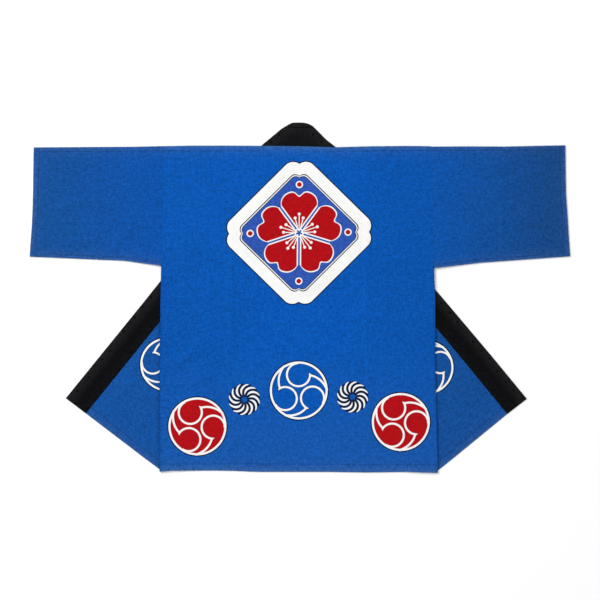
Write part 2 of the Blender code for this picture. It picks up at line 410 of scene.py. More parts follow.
# Painted shade along the side seams: how fast it fades in millimetres, and how dark it is.
ROLL_FADE = 3.0
ROLL_SHADE = 0.24
SEAM_FADE = 0.5
# How dark the painted shade along stitched lines is.
SEAM_SHADE = 0.22
SEAM_DIP = 0.00035
PULL_FADE = 0.012
PUCKER = (95.0, 95.0, 2.0)
PUCKER_HEIGHT = 0.0011
# Scale across and along the threads, detail, share in the shade, height in metres.
NOISES = {
    "warp": (680.0, 38.0, 2.0, 0.5, 0.00016),
    "weft": (38.0, 680.0, 2.0, 0.5, 0.00016),
    "grain": (300.0, 300.0, 1.0, 0.95, 0.00009),
    "mottle": (120.0, 120.0, 3.0, 0.95, 0.0),
    "ripple": (34.0, 34.0, 2.0, 0.0, 0.001),
    "cloud": (11.0, 11.0, 3.0, 0.16, 0.004),
    "broad": (2.4, 2.0, 2.0, 0.12, 0.0),
}
# These fade out where red is printed.
SPECKLES = ("warp", "weft", "grain", "mottle")


def start_material(name, roughness, shine=COTTON_SHINE, on_cloth=True):
    """A new material, its shader and its coordinates on the flat cloth or in space."""
    made = bpy.data.materials.new(name)
    made.use_nodes = True
    shader = made.node_tree.nodes["Principled BSDF"]
    shader.inputs["Roughness"].default_value = roughness
    shader.inputs["Specular IOR Level"].default_value = shine
    first = Link(made.node_tree, None)
    if on_cloth:
        return made, shader, first.node("Attribute", {"attribute_name": "cut"}, output="Vector")
    return made, shader, first.node("TexCoord", output="Object")


def measured(place, name):
    """A value that was measured on the piece, in millimetres."""
    found = place.node("Attribute", {"attribute_name": name}, output="Fac")
    return found * 1000.0


def noise(place, across, up, detail):
    """A soft noise from -0.5 to 0.5, stretched by a scale for each direction."""
    stretched = place.node("VectorMath", {"operation": "MULTIPLY"},
                           {0: place, 1: (across, up, 1.0)})
    found = place.node("TexNoise", {}, {"Vector": stretched, "Scale": 1.0, "Detail": detail,
                                        "Roughness": 0.6})
    return found - 0.5


def cotton(place, shader, colour, grain=0.0, worn=WORN_BLUE, wear=0.8):
    """Weave, clouding, seam pull, edge wear and painted shade, into a shader's colour and bump.
    """
    threads = place.node("VectorRotate", {"rotation_type": "Z_AXIS"},
                         {"Vector": place, "Angle": -grain})
    found = {name: noise(threads, *row[:3]) for name, row in NOISES.items()}
    shades = {name: found[name] * row[3] for name, row in NOISES.items() if row[3]}
    height = sum(found[name] * row[4] for name, row in NOISES.items() if row[4])
    seam = abs(measured(place, "seam"))
    # Painted shade in the groove along stitched lines.
    near_seam = (seam * seam * -SEAM_FADE).math("EXPONENT")
    pull = (seam * seam * -PULL_FADE).math("EXPONENT")
    # Painted shade along the side seams, where the back rolls down and shadows the fronts.
    painted_side_shade = (measured(place, "side") * (-1.0 / ROLL_FADE)).math("EXPONENT")
    rubbed = (measured(place, "rim") * (-1.0 / RUB_FADE)).math("EXPONENT")
    colour = over(colour, rubbed * (wear + found["mottle"]), screen(worn))
    red = colour.node("SeparateColor", {}, {0: colour})
    speckle = sum(shades[name] for name in SPECKLES) * (1.0 - red)
    shade = 1.0 + speckle + shades["cloud"] + shades["broad"]
    # Painted shade along stitched lines and side seams.
    shade = shade - near_seam * SEAM_SHADE - painted_side_shade * ROLL_SHADE
    coloured = place.node("VectorMath", {"operation": "SCALE"}, {0: colour, "Scale": shade})
    coloured.into(shader, "Base Color")
    height = height + noise(threads, *PUCKER) * pull * PUCKER_HEIGHT - near_seam * SEAM_DIP
    bump = place.node("Bump", {}, {"Strength": 0.8, "Distance": 1.0, "Height": height})
    bump.into(shader, "Normal")


def along(value, start, end):
    """0 at one value and 1 at another, straight between them."""
    scale = 1.0 / (end - start)
    return value.math("MULTIPLY_ADD", scale, -start * scale, clamp=True)


def in_millimetres(place):
    """The flat-cloth coordinates as two values in millimetres."""
    big = place.node("VectorMath", {"operation": "SCALE"}, {0: place, "Scale": 1000.0})
    return [place.node("SeparateXYZ", {}, {0: big}, axis) for axis in ("X", "Y")]


print("cotton ready")

# %% [markdown]
# The back's print is laid on in the order that a dyer would: ground, frame, blossom,
# then the motifs above the hem. Both red roundels come from one drawing, and so do both
# swirls, because the sign of x picks the nearer centre before anything is drawn.

# %% Back print
OUTLINE = 2.7
TRIM = 1.5
INNER_LINES = ((0.0, PRINT_NAVY), (2.3, PRINT_WHITE), (4.5, PRINT_NAVY), (6.0, FRAME_BLUE))
FADE = (-120.0, -380.0)
SIDEWAYS = (60.0, 310.0)
RED_ROUNDELS = ((-236.8, -297.4), (233.1, -287.2))
MIDDLE_ROUNDEL = (-2.7, -214.5)
SWIRLS = ((-128.4, -235.5), (121.7, -229.7))
RED_HEADING = math.radians(117.0)
MIDDLE_HEADING = math.radians(91.0)


def nearer(across, up, centres):
    """Coordinates from the left centre on the left half and the right one on the right."""
    (left, left_up), (right, right_up) = centres
    right_half = across.math("GREATER_THAN", 0.0)
    from_left = across - left - right_half * (right - left)
    return from_left, up - left_up - right_half * (right_up - left_up)


def paint_roundel(colour, lines, edge, inside, trim=0.5):
    """A roundel on a colour: its dark outline, its filling and its trimmed white lines."""
    colour = over(colour, ink(edge - OUTLINE), screen(PRINT_NAVY))
    colour = over(colour, ink(edge), screen(inside))
    colour = over(colour, ink(lines - TRIM) * trim, screen(PRINT_NAVY))
    return over(colour, ink(lines), screen(PRINT_WHITE))


def back_print(place):
    """The colour of the back, with all its motifs."""
    across, up = in_millimetres(place)
    white, navy, red = (screen(paint) for paint in (PRINT_WHITE, PRINT_NAVY, PRINT_RED))
    colour = over(screen(BODY_BLUE), along(abs(across), *SIDEWAYS), screen(SIDE_BLUE))
    colour = over(colour, along(up, *FADE), screen(LOW_BLUE))
    aside = across - EMBLEM_CENTRE[0]
    above = up - EMBLEM_CENTRE[1]
    x = (aside - above * EMBLEM_LEAN) / EMBLEM_WIDE
    y = (above - aside * EMBLEM_RISE) / EMBLEM_TALL
    outer = lobed_diamond(x, y, *FRAME_OUTER)
    colour = over(colour, ink(outer - OUTLINE), navy)
    colour = over(colour, ink(outer), white)
    for by, paint in INNER_LINES:
        line = lobed_diamond(x, y, *inset(FRAME_INNER, by))
        colour = over(colour, ink(line), screen(paint))
    petals, stamens = blossom(x, y)
    dots = length(higher(abs(x), abs(y)) - CORNER_DOT, lower(abs(x), abs(y)))
    shapes = lower(petals, dots - CORNER_DOT_ROUND)
    colour = over(colour, ink(shapes), white)
    colour = over(colour, ink(shapes + PETAL_EDGE), red)
    colour = over(colour, ink(stamens), white)
    x, y = nearer(across, up, RED_ROUNDELS)
    colour = paint_roundel(colour, *roundel(x, y, RED_HEADING), PRINT_RED, trim=0.1)
    middle = roundel(across - MIDDLE_ROUNDEL[0], up - MIDDLE_ROUNDEL[1], MIDDLE_HEADING)
    colour = paint_roundel(colour, *middle, BODY_BLUE)
    blades, between = swirl(*nearer(across, up, SWIRLS))
    colour = over(colour, ink(between), navy)
    return over(colour, ink(blades), white)


back_cotton, shader, place = start_material("printed blue cotton", 0.9)
cotton(place, shader, back_print(place), worn=WORN_HEM, wear=0.9)
print("back print:", len(back_cotton.node_tree.nodes), "nodes")

# %% [markdown]
# Each front carries one outlined roundel near its side, half hidden under the back. The
# turned part of a front lies at an angle, so its threads run along the collar and not
# along the side seam, and the grain is turned by that angle.

# %% Sleeve, front and collar finishes
# Centre in millimetres, then heading and grain in degrees.
FRONT_PRINTS = {
    "left": ((-307.0, -154.4), 174.0, -37.2),
    "right": ((292.9, -161.4), 20.0, 36.8),
}
FRONT_ROUNDEL = 0.925
CUFF_SHADE_SPAN = (330.0, 580.0)

sleeve_cottons = {}
front_cottons = {}
for side, (blue, cuff_shaded_blue) in SLEEVE_SHADED_BLUES.items():
    sleeve_cottons[side], shader, place = start_material(side + " sleeve cotton", 0.9)
    across, up = in_millimetres(place)
    # Painted shade, darkening each sleeve towards its cuff.
    dye_and_painted_light = over(screen(blue), along(abs(across), *CUFF_SHADE_SPAN), screen(cuff_shaded_blue))
    cotton(place, shader, dye_and_painted_light)
    front_cottons[side], shader, place = start_material(side + " front cotton", 0.9)
    across, up = in_millimetres(place)
    (centre_x, centre_y), heading, grain = FRONT_PRINTS[side]
    drawn = roundel(across - centre_x, up - centre_y, math.radians(heading), FRONT_ROUNDEL)
    blue = FRONT_BLUES[side]
    cotton(place, shader, paint_roundel(screen(blue), *drawn, blue), math.radians(grain))

collar_cotton, shader, place = start_material("black collar cotton", 0.82)
along_band, across_band = in_millimetres(place)
from_neck = along(abs(along_band - NECK_PLACE), *NECK_REACH)
dark = over(screen(NECK_BLACK), from_neck, screen(COLLAR_BLACK))
# Painted sheen: the black turns grey towards the collar's free edge.
dye_and_painted_light = over(dark, along(across_band, *COLLAR_SHEEN_SPAN), screen(COLLAR_SHEEN_GREY))
cotton(place, shader, dye_and_painted_light, worn=WORN_BLACK, wear=0.12)
print("finishes:", [made.name for made in bpy.data.materials])

# %% [markdown]
# Sewing thread is twisted, so a fine slanting wave of painted shade and highlight turns
# along each stitch. The floor has only the faintest clouding.

# %% Thread and floor finishes
THREAD_BLUE = (24, 98, 190)
THREAD_BLACK = (1, 1, 2)
THREAD_TWIST = 900.0
THREAD_TWIST_SHADE = 0.7
THREAD_TWIST_HIGHLIGHT = 1.15
FLOOR_WHITES = ((0.93, 0.93, 0.93, 1.0), (0.95, 0.95, 0.945, 1.0))


def thread_material(name, colour):
    """Twisted sewing thread."""
    made, shader, place = start_material(name, 0.8, on_cloth=False)
    twist = place.node("TexWave", {"bands_direction": "DIAGONAL"},
                       {"Vector": place, "Scale": THREAD_TWIST, "Distortion": 0.6})
    # Painted shade and highlight in slanting bands along the twist.
    mixed = over(screen(colour, THREAD_TWIST_SHADE * LIGHT_GAIN), twist,
                 screen(colour, THREAD_TWIST_HIGHLIGHT * LIGHT_GAIN))
    mixed.into(shader, "Base Color")
    return made


blue_thread = thread_material("blue thread", THREAD_BLUE)
black_thread = thread_material("black thread", THREAD_BLACK)

floor_paper, shader, place = start_material("pale floor", 0.95, 0.05, on_cloth=False)
clouds = place.node("TexNoise", {}, {"Vector": place, "Scale": 3.0})
over(FLOOR_WHITES[0], clouds, FLOOR_WHITES[1]).into(shader, "Base Color")
floor.data.materials.append(floor_paper)
print("threads and floor done")

# %% [markdown]
# Every straight panel is a grid that is pulled to its four sides. A side is a short
# table: where it is at each height, or how high it is at each place across. So the rows
# follow the hem and the columns the side seams, as the threads do.

# %% Panels from their four sides
CELL = 0.0045
PANELS = {
    "back": {
        "left": ((-0.4023, -0.3243), (-0.155, -0.3243), (0.0, -0.322), (0.0736, -0.3205),
                 (0.3491, -0.3149)),
        "right": ((-0.4046, 0.3186), (-0.31, 0.3168), (-0.155, 0.3126), (-0.03, 0.3128),
                  (0.006, 0.3126), (0.04, 0.3108), (0.0681, 0.3101), (0.3503, 0.3026)),
        "low": ((-0.3243, -0.4024), (-0.296, -0.3999), (-0.19, -0.3997), (-0.15, -0.4004),
                (-0.115, -0.4021), (-0.09, -0.4027), (0.01, -0.4027), (0.07, -0.4028),
                (0.15, -0.4041), (0.19, -0.4037), (0.24, -0.4027), (0.3188, -0.405)),
        "high": ((-0.3151, 0.3502), (-0.25, 0.3514), (-0.185, 0.3514), (-0.12, 0.3508),
                 (0.0, 0.3497), (0.083, 0.3473), (0.17, 0.3499), (0.24, 0.3506),
                 (0.3028, 0.3501)),
    },
    "left": {
        "left": ((0.0948, -0.6246), (0.132, -0.622), (0.1645, -0.6196), (0.206, -0.6177),
                 (0.248, -0.6167), (0.331, -0.6156), (0.3473, -0.6151)),
        "right": ((0.0736, -0.3206), (0.3491, -0.315)),
        "low": ((-0.6237, 0.0948), (-0.4054, 0.0854), (-0.3206, 0.0736)),
        "high": ((-0.6145, 0.3473), (-0.39, 0.3487), (-0.315, 0.3502)),
    },
    "right": {
        "left": ((0.0681, 0.3102), (0.3503, 0.3027)),
        "right": ((0.0955, 0.6246), (0.117, 0.6231), (0.147, 0.621), (0.1863, 0.6187),
                  (0.2163, 0.6166), (0.244, 0.6149), (0.2833, 0.6142), (0.3515, 0.6133)),
        "low": ((0.3102, 0.0681), (0.42, 0.081), (0.6237, 0.0955)),
        "high": ((0.3028, 0.3491), (0.39, 0.3496), (0.475, 0.3492), (0.54, 0.3506),
                 (0.6135, 0.3521)),
    },
}


def read_off(table, position):
    """A value between the rows of a table of (position, value)."""
    for (start, low), (end, high) in zip(table, table[1:]):
        if position <= end:
            break
    return low + (high - low) * (position - start) / (end - start)


def ruled_sheet(sides):
    """A flat grid pulled to its four sides."""
    wide = sides["high"][-1][0] - sides["high"][0][0]
    tall = sides["left"][-1][0] - sides["left"][0][0]
    made = bmesh.new()
    bmesh.ops.create_grid(made, x_segments=round(wide / CELL), y_segments=round(tall / CELL),
                          size=0.5)
    for vert in made.verts:
        along = vert.co.x + 0.5
        up = vert.co.y + 0.5
        x = sides["high"][0][0] + wide * along
        for _ in range(3):
            low = read_off(sides["low"], x)
            y = low + (read_off(sides["high"], x) - low) * up
            left = read_off(sides["left"], y)
            x = left + (read_off(sides["right"], y) - left) * along
        vert.co.x = x
        vert.co.y = y
    return made


print("panels:", list(PANELS))

# %% [markdown]
# The creases are listed one row each: where it starts and ends, how far it bows,
# how wide and how high it is. A ridge has a shallow trough along its flanks, and it
# dies away towards both ends. The lower cloth of a double layer takes the same creases
# but smaller, so that the layers stay apart.

# %% Creases
# Start x and y, end x and y, bow, width, rise. The back first, then each sleeve.
CREASES = (
    (-0.3, -0.168, -0.212, -0.118, 0.01, 0.011, 0.0016),
    (-0.292, -0.196, -0.19, -0.172, -0.008, 0.01, 0.0012),
    (-0.262, -0.128, -0.205, -0.098, 0.006, 0.009, 0.0009),
    (0.12, -0.028, 0.29, -0.046, -0.012, 0.01, 0.0016),
    (0.168, -0.06, 0.3, -0.074, -0.006, 0.012, 0.0009),
    (0.176, 0.088, 0.306, 0.072, 0.01, 0.011, 0.0014),
    (-0.31, 0.058, -0.236, 0.02, 0.008, 0.01, 0.0012),
    (-0.308, 0.012, -0.258, -0.02, -0.005, 0.009, 0.0009),
    (-0.12, -0.056, 0.085, -0.064, 0.012, 0.014, 0.001),
    (-0.205, -0.02, -0.105, -0.012, -0.006, 0.012, 0.0008),
    (-0.25, 0.33, -0.214, 0.236, 0.008, 0.012, 0.001),
    (0.232, 0.326, 0.208, 0.236, -0.007, 0.011, 0.001),
    (-0.166, -0.38, -0.152, -0.318, 0.004, 0.009, 0.001),
    (0.052, -0.386, 0.044, -0.33, -0.003, 0.009, 0.0009),
    (0.15, -0.384, 0.164, -0.316, 0.004, 0.009, 0.0009),
    (-0.16, 0.3, -0.163, -0.3, 0.003, 0.006, 0.0008),
    (0.156, 0.32, 0.16, -0.28, -0.003, 0.006, 0.0008),
    (-0.59, 0.2, -0.43, 0.214, 0.01, 0.012, 0.0015),
    (-0.56, 0.126, -0.452, 0.14, -0.006, 0.01, 0.001),
    (-0.436, 0.106, -0.372, 0.172, 0.008, 0.011, 0.0015),
    (-0.47, 0.336, -0.474, 0.11, 0.004, 0.006, 0.0008),
    (-0.56, 0.318, -0.452, 0.3, 0.006, 0.011, 0.0009),
    (0.43, 0.196, 0.596, 0.178, -0.01, 0.012, 0.0015),
    (0.556, 0.262, 0.606, 0.2, 0.006, 0.01, 0.0014),
    (0.368, 0.158, 0.444, 0.098, 0.008, 0.011, 0.0015),
    (0.472, 0.336, 0.47, 0.108, -0.004, 0.006, 0.0008),
    (0.4, 0.306, 0.5, 0.318, -0.005, 0.01, 0.0009),
    (0.52, 0.14, 0.612, 0.128, 0.005, 0.01, 0.0012),
)
# The turned parts of the fronts, left and right.
FRONT_CREASES = (
    (-0.44, -0.258, -0.352, -0.172, 0.008, 0.01, 0.0014),
    (-0.392, -0.318, -0.346, -0.262, -0.005, 0.008, 0.001),
    (-0.42, -0.21, -0.344, -0.128, 0.006, 0.008, 0.0008),
    (0.43, -0.262, 0.35, -0.176, -0.008, 0.01, 0.0014),
    (0.386, -0.322, 0.346, -0.262, 0.005, 0.008, 0.001),
    (0.412, -0.216, 0.346, -0.122, -0.006, 0.008, 0.0008),
)
LIFT = 1.6
TROUGH = 0.2
TAPER = 0.7


def crease_height(x, y, table):
    """How high the creases lift a point."""
    total = 0.0
    for start_x, start_y, end_x, end_y, bow, width, rise in table:
        run_x = end_x - start_x
        run_y = end_y - start_y
        long = math.hypot(run_x, run_y)
        share = ((x - start_x) * run_x + (y - start_y) * run_y) / (long * long)
        if 0.0 < share < 1.0:
            aside = ((y - start_y) * run_x - (x - start_x) * run_y) / long
            reach = (aside - 4.0 * bow * share * (1.0 - share)) / width
            ridge = (1.0 + TROUGH) * math.exp(-reach * reach)
            flank = TROUGH * math.exp(-reach * reach / 6.0)
            total += rise * math.sin(math.pi * share) ** TAPER * (ridge - flank)
    return LIFT * total


print("creases:", len(CREASES) + len(FRONT_CREASES))

# %% [markdown]
# Stitched lines are tables as well, each a run of points. They are used three times:
# the cloth pulls in along them, a painted shade darkens the cloth there, and real
# stitches are laid on them at the end.

# %% Stitched lines
STITCH_LINES = {
    "back": (
        ((-0.314, 0.3388), (-0.09, 0.3392)),
        ((0.084, 0.338), (0.3018, 0.34)),
        ((-0.3225, -0.3848), (-0.12, -0.3838), (0.02, -0.3856), (0.317, -0.3868)),
    ),
    "left": (
        ((-0.612, 0.3372), (-0.3164, 0.3388)),
        ((-0.6026, 0.345), (-0.605, 0.206), (-0.6112, 0.096)),
        ((-0.62, 0.102), (-0.4054, 0.0926), (-0.3225, 0.081)),
    ),
    "right": (
        ((0.3042, 0.34), (0.611, 0.3412)),
        ((0.6008, 0.349), (0.6026, 0.244), (0.6114, 0.0968)),
        ((0.314, 0.0756), (0.42, 0.0882), (0.62, 0.1026)),
    ),
    "left front": (((-0.4848, -0.2529), (-0.3304, -0.3732)),),
    "right front": (((0.471, -0.2532), (0.3249, -0.3757)),),
}
SIDE_SEAMS = (
    ((-0.3243, -0.4024), (-0.3243, -0.155), (-0.3205, 0.0736)),
    ((0.3186, -0.405), (0.3168, -0.31), (0.3126, -0.155), (0.3126, 0.006),
     (0.3101, 0.0681)),
)
HEM_LINE = 0.018
FAR = 9.0


def signed_distance(point, start, end):
    """Distance from a stretch of a line, with its sign telling the side."""
    along = end - start
    share = min(max((point - start).dot(along) / along.length_squared, 0.0), 1.0)
    offset = point - start - along * share
    return math.copysign(offset.length, along.cross(offset))


def stretches(lines):
    """The straight stretches of several lines, as pairs of points."""
    return [(Vector(start), Vector(end)) for line in lines for start, end in zip(line, line[1:])]


def nearest_line(point, pairs):
    """Signed distance from the nearest of several stretches."""
    found = FAR
    for start, end in pairs:
        distance = signed_distance(point, start, end)
        if abs(distance) < abs(found):
            found = distance
    return found


def free_edges(key):
    """The lines of a panel that show as edges: its ends, and the cuff of a sleeve."""
    sides = PANELS[key]
    cuff = [row[::-1] for row in sides.get(key, ())]
    return [cuff, sides["low"], sides["high"]]


print("stitched lines:", sum(len(lines) for lines in STITCH_LINES.values()))

# %% [markdown]
# Each skin lies on the top of its solid. A ray from above reads that height at every
# point, and a few passes of vertical smoothing take out the facets. The creases come
# next, and a Solidify modifier then gives the cloth its thickness.

# %% Skins on the solids
CLOTH = 0.0009
SMOOTHING = 30
SKY = 1.0
ABOVE = 0.02


def solid_tree(node):
    """A node's surface, ready for rays."""
    body = bmesh.new()
    body.from_mesh(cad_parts[node].data)
    found = BVHTree.FromBMesh(body)
    body.free()
    return found


def height_at(tree, x, y):
    """The top of a surface at a point, or of its nearest edge."""
    hit = tree.ray_cast(Vector((x, y, SKY)), Vector((0.0, 0.0, -1.0)))[0]
    if hit is None:
        hit = tree.find_nearest(Vector((x, y, ABOVE)))[0]
    return hit.z


def soften(made, verts):
    """Smooth the solid's facets out of a skin, up and down only."""
    for _ in range(SMOOTHING):
        bmesh.ops.smooth_vert(made, verts=verts, factor=0.5, use_axis_z=True)


def measure(made, lines, edges, sides=()):
    """Store where each point is on the flat cloth, and its three distances."""
    cut = made.verts.layers.float_vector.new("cut")
    for vert in made.verts:
        vert[cut] = (*vert.co.xy, 0.0)
    for name, group in (("seam", lines), ("rim", edges), ("side", sides)):
        layer = made.verts.layers.float.new(name)
        pairs = stretches(group)
        for vert in made.verts:
            distance = nearest_line(vert.co.xy, pairs)
            vert[layer] = distance if name == "seam" else abs(distance)


def add_piece(name, made, finish, nodes=()):
    """Put a finished mesh in the scene as a piece of the coat, and free it."""
    for edge in made.edges:
        edge.smooth = not edge.is_boundary
    made.normal_update()
    mesh = bpy.data.meshes.new(name)
    made.to_mesh(mesh)
    made.free()
    mesh.shade_smooth()
    mesh.materials.append(finish)
    piece = bpy.data.objects.new(name, mesh)
    scene.collection.objects.link(piece)
    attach(piece, "root")
    if nodes:
        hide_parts(*nodes)
    return piece


def add_cloth(name, made, finish, node):
    """A skin of blue cotton in a solid's place, grown into cloth behind its shaped side."""
    piece = add_piece(name, made, finish, (node,))
    wall = piece.modifiers.new("cloth", "SOLIDIFY")
    wall.thickness = CLOTH
    wall.offset = -1.0
    return piece


print("cloth thickness:", CLOTH)

# %% [markdown]
# The back's hem is turned up and sewn, so its lowest 18 mm lie a little higher.

# %% Back
HEM_RISE = 0.0005
HEM_STEP = 0.006
surfaces = {}


def panel_piece(name, key, node, finish, share, hem=False):
    """A straight panel as cloth."""
    made = ruled_sheet(PANELS[key])
    measure(made, STITCH_LINES[key], free_edges(key), SIDE_SEAMS if hem else ())
    tree = solid_tree(node)
    for vert in made.verts:
        vert.co.z = height_at(tree, *vert.co.xy)
    soften(made, made.verts[:])
    for vert in made.verts:
        vert.co.z += share * crease_height(*vert.co.xy, CREASES)
        if hem:
            inside = read_off(PANELS[key]["low"], vert.co.x) + HEM_LINE - vert.co.y
            vert.co.z += HEM_RISE * min(max(inside / HEM_STEP, 0.0), 1.0)
    surfaces[name] = BVHTree.FromBMesh(made)
    return add_cloth(name, made, finish, node)


back = panel_piece("back_cloth", "back", "back", back_cotton, 1.0, hem=True)
print("back:", len(back.data.vertices), "points")

# %% [markdown]
# A sleeve is two panels, sewn along the shoulder and under the arm, and left open at
# the cuff. The lower half takes the creases at less than half of their height.

# %% Sleeves
LOWER_SHARE = 0.45
for side in ("left", "right"):
    for half, share in (("front", LOWER_SHARE), ("back", 1.0)):
        node = "sleeve_" + side + "_" + half
        panel_piece(node + "_cloth", side, node, sleeve_cottons[side], share)
print("sleeves:", [name for name in surfaces if "sleeve" in name])

# %% [markdown]
# A front is one folded piece of cloth. It is built flat first, with its turned part where
# it will lie and the rest mirrored to the far side of the fold. The flat sheet is cut to
# its outline, and scored along the fold so that there are points to bend. Then all that
# lies past the fold swings back over the rest, through a half round.

# %% Front outlines
FOLD_LINES = {
    "left": ((-0.3245, -0.3976), (-0.0738, 0.348)),
    "right": ((0.3194, -0.4001), (0.0713, 0.346)),
}
# Where a turned part's hem meets the collar, and where its seam with the collar bends.
TURNED = {
    "left": ((-0.4948, -0.2678), (-0.3227, -0.054)),
    "right": ((0.4793, -0.2689), (0.3151, -0.0694)),
}
NECK = (-0.0067, 0.3365)
# The side seam of the part that lies flat, from the shoulder down.
LYING = {
    "left": ((-0.3149, 0.3491), (-0.3205, 0.0736), (-0.323, -0.155)),
    "right": ((0.3026, 0.348), (0.3103, 0.0681), (0.312, -0.155), (0.3163, -0.31)),
}
FOLD_HALF = 0.0018
FOLD_EASE = 0.04
FOLD_CUTS = 6


def inside_outline(point, outline):
    """Whether a point lies within an outline."""
    result = False
    for i, corner in enumerate(outline):
        before = outline[i - 1]
        if (corner.y > point.y) != (before.y > point.y):
            share = (point.y - corner.y) / (before.y - corner.y)
            if point.x < corner.x + share * (before.x - corner.x):
                result = not result
    return result


class Fold:
    """The line that a front is folded along, and the way out from it."""

    def __init__(self, side):
        self.hem = Vector(FOLD_LINES[side][0])
        self.neck = Vector(FOLD_LINES[side][1])
        along = (self.neck - self.hem).normalized()
        self.out = Vector((-along.y, along.x))
        if side == "right":
            self.out = -self.out

    def beyond(self, point):
        """How far a point lies on the outer side of the fold."""
        return (point - self.hem).dot(self.out)

    def mirrored(self, point):
        """A point on the other side of the fold."""
        return point - self.out * (2.0 * self.beyond(point))


def front_outline(side, fold):
    """The whole front, flat, in the place of its turned part."""
    collar_end, bend = (Vector(point) for point in TURNED[side])
    top = intersect_line_line_2d(fold.hem, fold.neck, bend, NECK)
    lying = [fold.mirrored(Vector(point)) for point in LYING[side]]
    return [fold.hem, collar_end, bend, top, fold.neck, *lying]


print("fronts folded along:", FOLD_LINES)

# %% [markdown]
# The flat grid is scored along every edge of the outline with bisect_plane, and the
# faces outside are dropped. After the fold, the skin is the outer one: the top of the
# lying part and the underside of the turned part, so the wall is grown inwards.

# %% Fronts
TURNED_LEVEL = 0.00015
INSIDE_FOLD = 0.003
OUTLINE_SNAP = 0.0004
FOLD_SNAP = 0.0001


def cut_sheet(outline, grain):
    """A flat grid, turned to the grain and cut to an outline."""
    low = Vector((min(p.x for p in outline), min(p.y for p in outline)))
    high = Vector((max(p.x for p in outline), max(p.y for p in outline)))
    middle = (low + high) / 2.0
    size = (high - low).length
    made = bmesh.new()
    cells = round(size / CELL)
    bmesh.ops.create_grid(made, x_segments=cells, y_segments=cells, size=size / 2.0)
    bmesh.ops.rotate(made, verts=made.verts[:], cent=(0.0, 0.0, 0.0),
                     matrix=Matrix.Rotation(grain, 3, "Z"))
    bmesh.ops.translate(made, verts=made.verts[:], vec=(*middle, 0.0))
    for i, corner in enumerate(outline):
        start = outline[i - 1]
        slope = corner - start
        near = [face for face in made.faces
                if abs(signed_distance(face.calc_center_median().xy, start, corner)) < CELL]
        edges = {edge for face in near for edge in face.edges}
        verts = {vert for face in near for vert in face.verts}
        bmesh.ops.bisect_plane(made, geom=[*verts, *edges, *near], dist=OUTLINE_SNAP,
                               plane_co=(*start, 0.0), plane_no=(-slope.y, slope.x, 0.0),
                               use_snap_center=True)
    outer = [face for face in made.faces
             if not inside_outline(face.calc_center_median().xy, outline)]
    bmesh.ops.delete(made, geom=outer, context="FACES")
    return made


def bend_over(made, fold, tree):
    """Swing the mirrored side of a flat front over its turned part."""
    turned = []
    lying = []
    for vert in made.verts:
        point = vert.co.xy
        out = fold.beyond(point)
        foot = point - fold.out * out
        ease = FOLD_HALF * max(1.0 - (abs(out) - FOLD_HALF) / FOLD_EASE, 0.0)
        if abs(out) >= FOLD_HALF:
            laid = foot + fold.out * (abs(out) - ease)
            level = TURNED_LEVEL if out > 0.0 else height_at(tree, *laid)
        else:
            high = height_at(tree, foot.x + INSIDE_FOLD * fold.out.x, foot.y)
            turn = 0.5 * math.pi * out / FOLD_HALF
            round_over = 0.5 * (high - TURNED_LEVEL)
            laid = foot - fold.out * (round_over * math.cos(turn))
            level = TURNED_LEVEL + round_over * (1.0 - math.sin(turn))
        vert.co = (*laid, level)
        if out <= -FOLD_HALF:
            lying.append(vert)
        elif out > FOLD_HALF:
            turned.append(vert)
    return turned, lying


def front_crease(x, y):
    """How high a turned part is lifted, never below the floor."""
    return max(crease_height(x, y, FRONT_CREASES), 0.0)


def front_piece(side):
    """A front as one folded sheet."""
    fold = Fold(side)
    outline = front_outline(side, fold)
    grain = math.radians(FRONT_PRINTS[side][2])
    made = cut_sheet(outline, grain)
    for step in range(FOLD_CUTS + 1):
        place = fold.hem + fold.out * (FOLD_HALF * (2.0 * step / FOLD_CUTS - 1.0))
        bmesh.ops.bisect_plane(made, geom=[*made.verts, *made.edges, *made.faces],
                               dist=FOLD_SNAP, plane_co=(*place, 0.0),
                               plane_no=(*fold.out, 0.0))
    measure(made, STITCH_LINES[side + " front"], [outline[:2]], SIDE_SEAMS)
    tree = solid_tree("front_" + side)
    turned, lying = bend_over(made, fold, tree)
    soften(made, lying)
    for vert in lying:
        vert.co.z += LOWER_SHARE * crease_height(*vert.co.xy, CREASES)
    for vert in turned:
        vert.co.z += front_crease(*vert.co.xy)
    bmesh.ops.reverse_faces(made, faces=made.faces[:])
    return add_cloth(side + "_front_cloth", made, front_cottons[side], "front_" + side)


for side in FOLD_LINES:
    made_front = front_piece(side)
    print(made_front.name, len(made_front.data.vertices), "points")

# %% [markdown]
# The collar is one long black band, folded double and sewn to both fronts and round the
# neck. Rungs across it give its shape, with a point on the free edge and one on the seam.
# Its edges are rounded by placing the outer columns close together and lowering them.

# %% Collar
# Free edge x and y, then seam x and y, from the left end over the crown to the right end.
RUNGS = (
    (-0.5413, -0.2325, -0.4948, -0.2678),
    (-0.3677, -0.0184, -0.3225, -0.0542),
    (-0.3228, 0.0378, -0.2772, 0.0018),
    (-0.09, 0.3508, -0.0423, 0.2925),
    (-0.043, 0.3902, -0.0146, 0.3266),
    (-0.0254, 0.4009, -0.0113, 0.3308),
    (-0.0175, 0.4045, -0.009, 0.3337),
    (-0.0035, 0.4049, -0.0067, 0.3365),
    (0.0086, 0.4046, -0.0041, 0.3332),
    (0.0196, 0.4022, -0.0016, 0.3301),
    (0.0293, 0.3972, 0.001, 0.3268),
    (0.0609, 0.3653, 0.02, 0.3028),
    (0.0842, 0.3472, 0.0365, 0.282),
    (0.3142, 0.0175, 0.271, -0.0142),
    (0.3599, -0.0363, 0.3149, -0.0696),
    (0.4425, -0.1342, 0.3972, -0.1691),
    (0.5246, -0.2339, 0.4793, -0.2689),
)
